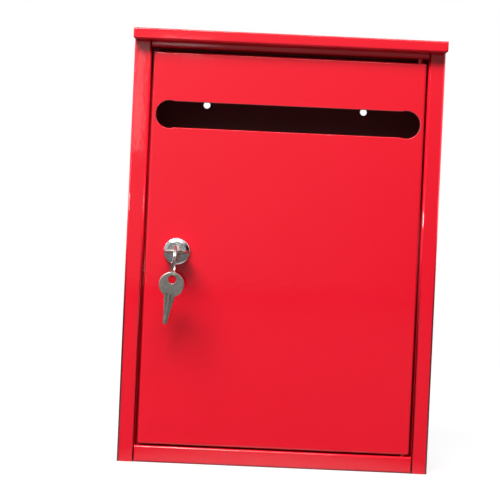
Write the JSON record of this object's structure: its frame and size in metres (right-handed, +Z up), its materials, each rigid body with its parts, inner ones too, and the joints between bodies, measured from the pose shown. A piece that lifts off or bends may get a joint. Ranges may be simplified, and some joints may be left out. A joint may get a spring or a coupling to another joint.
{
  "type": "wall mounted post box",
  "caption": "Folded sheet steel letter box for a wall, with a slab edged roof, a hinged door with a long letter slot, a cam lock with its key and a spare key on a split ring.",
  "frame": {"origin": "centre of the four wall screw holes, on the back face", "axes": "+Y into the wall along the wall screws, +Z up along the box's height, +X to the right of someone facing the door"},
  "size_m": [0.2162, 0.0974, 0.299],
  "materials": {
    "red_powder_coat": "gloss",
    "lock_chrome": "polished",
    "bright_steel": "zinc plated",
    "key_nickel": "satin",
    "ring_nickel": "polished",
    "wafer_brass": "plain",
    "spring_steel": "plain"
  },
  "bodies": {
    "box": {"body_shell": "red_powder_coat", "bottom_pan": "red_powder_coat", "top_rail": "red_powder_coat", "roof": "red_powder_coat", "hinge_pin_bottom": "red_powder_coat", "hinge_pin_top": "red_powder_coat"},
    "door": {"door_panel": "red_powder_coat", "lock_housing": "lock_chrome", "lock_washer": "bright_steel", "lock_nut": "bright_steel"},
    "lock_core": {"lock_plug": "lock_chrome", "wafer_1": "wafer_brass", "wafer_2": "wafer_brass", "wafer_3": "wafer_brass", "wafer_4": "wafer_brass", "wafer_5": "wafer_brass", "wafer_spring_1": "spring_steel", "wafer_spring_2": "spring_steel", "wafer_spring_3": "spring_steel", "wafer_spring_4": "spring_steel", "wafer_spring_5": "spring_steel", "stop_washer": "bright_steel", "cam": "bright_steel", "screw_washer": "bright_steel", "cam_screw": "bright_steel", "key_in_lock": "key_nickel"},
    "ring": {"key_ring": "ring_nickel"},
    "spare_key": {"spare_key": "key_nickel"}
  },
  "joints": [
    {"name": "door_swing", "type": "hinge", "parent": "box", "child": "door", "pos_m": [0.0906, -0.061, -0.00665], "axis": [0, 0, 1], "range_deg": [0, 105]},
    {"name": "key_turn", "type": "hinge", "parent": "door", "child": "lock_core", "pos_m": [-0.0722, -0.065, -0.0083], "axis": [0, 1, 0], "range_deg": [0, 90]},
    {"name": "ring_swing", "type": "hinge", "parent": "lock_core", "child": "ring", "pos_m": [-0.0722, -0.08657, -0.0073], "axis": [0, 1, 0], "range_deg": [-23, 17]},
    {"name": "spare_key_swing", "type": "hinge", "parent": "ring", "child": "spare_key", "pos_m": [-0.07325, -0.08657, -0.02724], "axis": [0, 1, 0], "range_deg": [-60, 60]}
  ]
}
